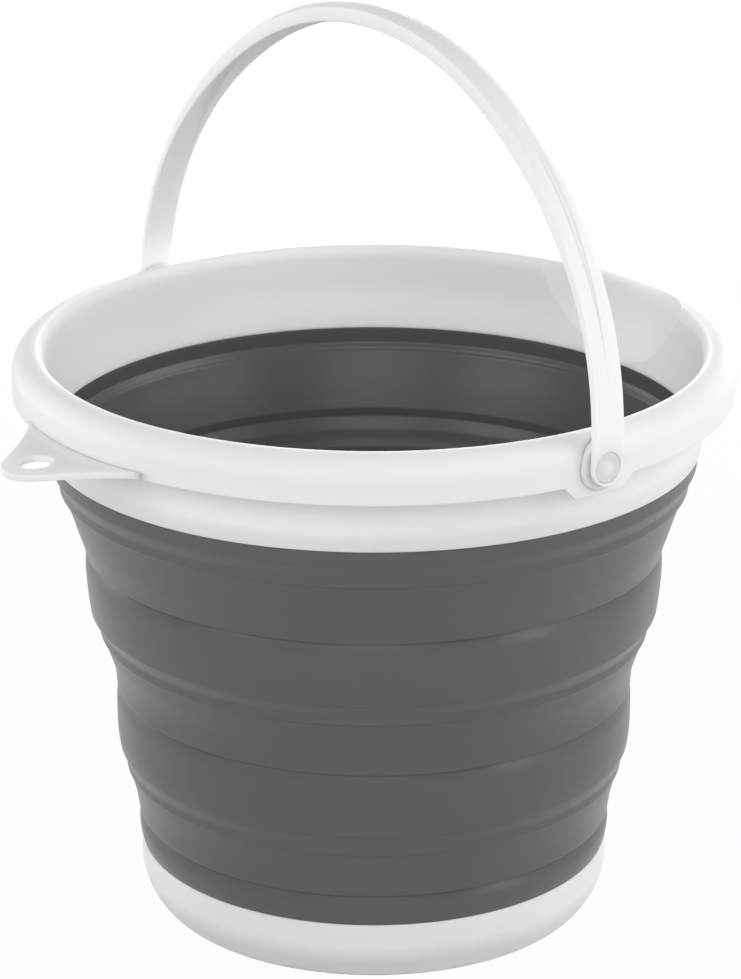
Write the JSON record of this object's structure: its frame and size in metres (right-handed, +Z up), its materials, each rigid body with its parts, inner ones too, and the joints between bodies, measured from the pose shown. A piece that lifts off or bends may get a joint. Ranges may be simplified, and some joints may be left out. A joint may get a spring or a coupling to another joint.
{
  "type": "collapsible camp bucket",
  "caption": "Round collapsible bucket with a rigid white rim and base, a folding grey bellows wall, a pouring scoop, a hanging tab and a swinging bail handle.",
  "frame": {"origin": "middle of the flat underside of the base, on the surface that the bucket stands on", "axes": "+Z up along the bucket's axis, +X towards the pouring scoop with the hanging tab at -X, and the handle's hinge axis along Y"},
  "size_m": [0.3445, 0.321, 0.4031],
  "materials": {
    "white_plastic": "smooth satin moulded polypropylene",
    "grey_elastomer": "smooth matt moulded thermoplastic elastomer"
  },
  "bodies": {
    "base": {"base": "white_plastic", "bellows_ring_3": "grey_elastomer", "bellows_fold_3": "grey_elastomer"},
    "ring_2": {"bellows_ring_2": "grey_elastomer", "bellows_fold_2": "grey_elastomer"},
    "ring_1": {"bellows_ring_1": "grey_elastomer", "bellows_fold_1": "grey_elastomer"},
    "rim": {"rim": "white_plastic", "bellows_top_band": "grey_elastomer", "pivot_pin_front": "white_plastic", "pivot_pin_rear": "white_plastic"},
    "handle": {"handle": "white_plastic"}
  },
  "joints": [
    {"name": "lower_fold", "type": "slide", "parent": "base", "child": "ring_2", "axis": [0, 0, 1], "range_m": [-0.053, 0], "deforming": ["bellows_fold_3"]},
    {"name": "middle_fold", "type": "slide", "parent": "ring_2", "child": "ring_1", "axis": [0, 0, 1], "range_m": [-0.063, 0], "deforming": ["bellows_fold_2"]},
    {"name": "upper_fold", "type": "slide", "parent": "ring_1", "child": "rim", "axis": [0, 0, 1], "range_m": [-0.076, 0], "deforming": ["bellows_fold_1"]},
    {"name": "handle_hinge", "type": "hinge", "parent": "rim", "child": "handle", "pos_m": [-0.0049, 0, 0.2445], "axis": [0, 1, 0], "range_deg": [-85.5, 72]}
  ]
}
